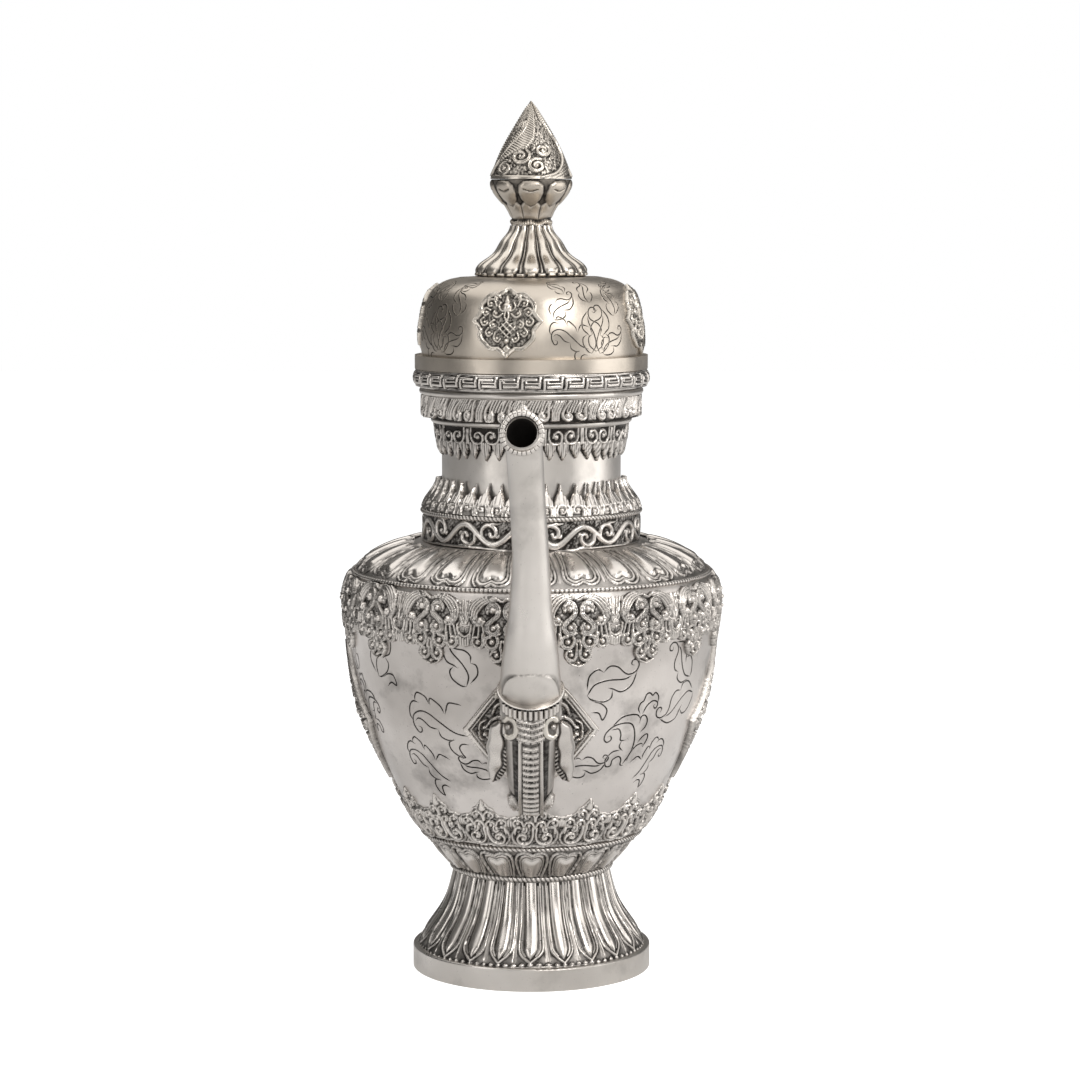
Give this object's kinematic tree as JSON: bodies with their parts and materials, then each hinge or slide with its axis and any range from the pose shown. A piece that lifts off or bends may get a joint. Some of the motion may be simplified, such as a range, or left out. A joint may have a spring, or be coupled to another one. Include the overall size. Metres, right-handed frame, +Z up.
{
  "type": "water pitcher",
  "caption": "Lidded silver ewer with a flared foot, chased belly, long curved spout rising from a sea monster's head, bow handle and a domed lift-off lid with a pointed bud finial.",
  "frame": {"origin": "centre of the foot on the surface it stands on", "axes": "+Z up along the vessel's axis; the spout points along -Y and the handle along +Y; +X is to the right seen from the spout's side"},
  "size_m": [0.1772, 0.3, 0.4],
  "materials": {
    "silver": "satin",
    "chased_silver": "satin",
    "lid_silver": "satin",
    "lid_chased_silver": "satin",
    "pale_silver": "satin",
    "steel": "satin"
  },
  "bodies": {
    "vessel": {"foot_rim": "silver", "foot_pedestal": "silver", "waist_rope": "chased_silver", "belly_bowl": "silver", "belly_shell": "silver", "belly_shoulder": "silver", "belly_crown": "silver", "belly_calyx": "chased_silver", "calyx_rope": "chased_silver", "lower_scroll_frieze": "chased_silver", "upper_scroll_frieze": "chased_silver", "shoulder_rope": "chased_silver", "shoulder_petals": "chased_silver", "side_medallion_left": "chased_silver", "side_medallion_right": "chased_silver", "back_plate": "chased_silver", "spout_plate": "chased_silver", "makara_head": "chased_silver", "makara_fangs": "pale_silver", "makara_fins": "chased_silver", "spout_tube": "silver", "spout_lip": "silver", "neck_tube": "silver", "neck_vine_band": "chased_silver", "neck_rope": "chased_silver", "neck_crest": "chased_silver", "neck_fringe": "chased_silver", "fringe_moulding": "silver", "acanthus_band": "chased_silver", "mouth_moulding": "silver", "key_band": "chased_silver", "handle": "silver", "handle_upper_collar": "silver", "handle_lower_collar": "silver"},
    "lid_flange": {"lid_flange": "lid_silver"},
    "lid": {"lid_rim": "lid_silver", "lid_dome": "lid_silver", "lid_medallion_front": "lid_chased_silver", "lid_medallion_right": "lid_chased_silver", "lid_medallion_back": "lid_chased_silver", "lid_medallion_left": "lid_chased_silver", "finial_skirt": "lid_chased_silver", "finial_cup": "lid_chased_silver", "finial_bud": "lid_chased_silver", "finial_stud": "steel", "finial_nut": "steel", "finial_washer": "steel"}
  },
  "joints": [
    {"name": "lid_lift", "type": "slide", "parent": "vessel", "child": "lid_flange", "axis": [0, 0, 1], "range_m": [0, 0.15]},
    {"name": "lid_turn", "type": "hinge", "parent": "lid_flange", "child": "lid", "pos_m": [0, 0, 0.285], "axis": [0, 0, 1], "continuous": true}
  ]
}
